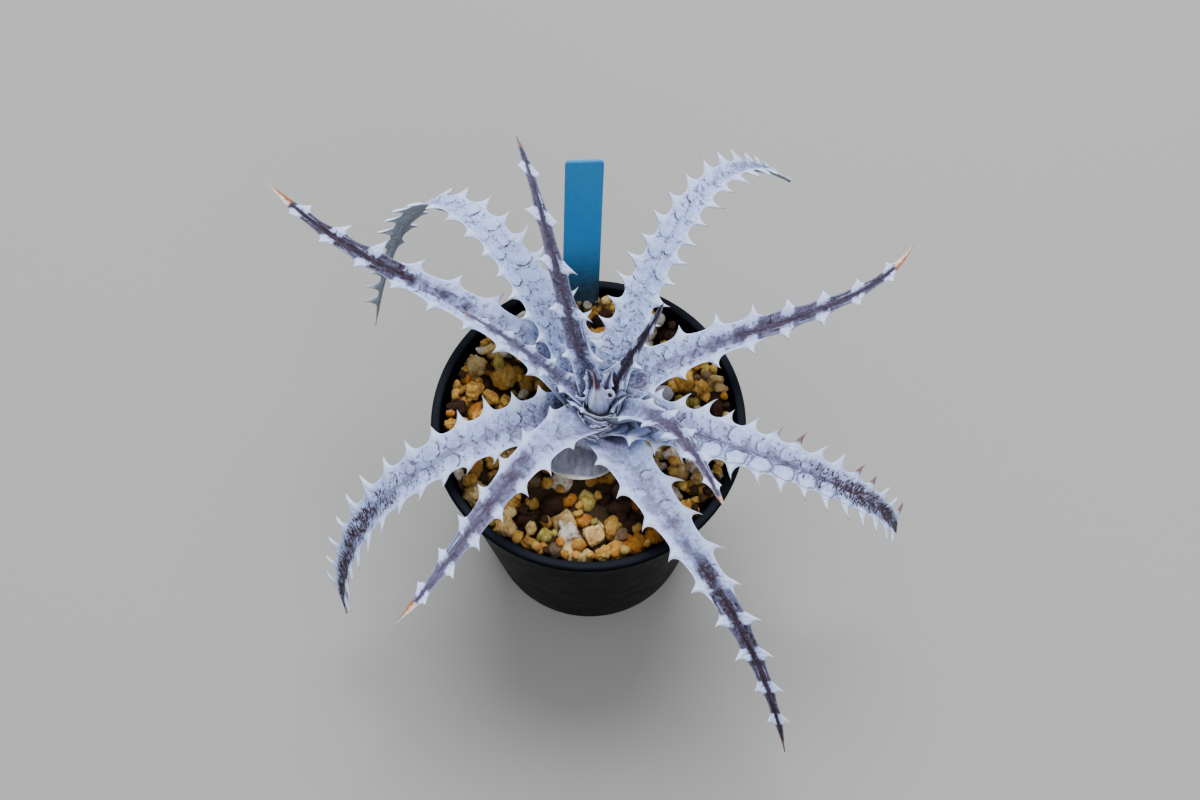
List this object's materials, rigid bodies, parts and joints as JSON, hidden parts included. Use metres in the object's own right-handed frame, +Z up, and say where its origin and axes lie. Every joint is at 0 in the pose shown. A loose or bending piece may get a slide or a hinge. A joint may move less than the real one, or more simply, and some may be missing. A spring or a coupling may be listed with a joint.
{
  "type": "potted bromeliad",
  "caption": "Frosted dyckia, a rosette of arching leaves edged with hooked teeth, in granular mix in a round tapered nursery pot with a plain stick-in label",
  "frame": {"origin": "centre of the pot's base, on the ground", "axes": "+Z up; +X to the right of the plant; +Y to its back, where the label stands"},
  "size_m": [0.1819, 0.1709, 0.1423],
  "materials": {
    "pot_plastic": "satin",
    "granular_mix": "matte",
    "label_plastic": "satin",
    "heart_leaf": "matte",
    "leaf": "matte",
    "old_leaf": "matte"
  },
  "bodies": {
    "root": {"pot": "pot_plastic", "soil": "granular_mix", "plant_label": "label_plastic", "stem_and_heart": "heart_leaf", "leaf_right_young": "leaf", "leaf_left_young": "leaf", "leaf_front_young": "leaf", "leaf_back": "leaf", "leaf_left_upper": "leaf", "leaf_right_upper": "leaf", "leaf_front_left": "leaf", "leaf_front": "leaf", "leaf_right_lower": "leaf", "leaf_left_lower": "leaf", "leaf_back_left": "leaf", "leaf_back_right": "leaf", "old_stub_front": "old_leaf", "old_stub_right": "old_leaf"}
  },
  "joints": []
}
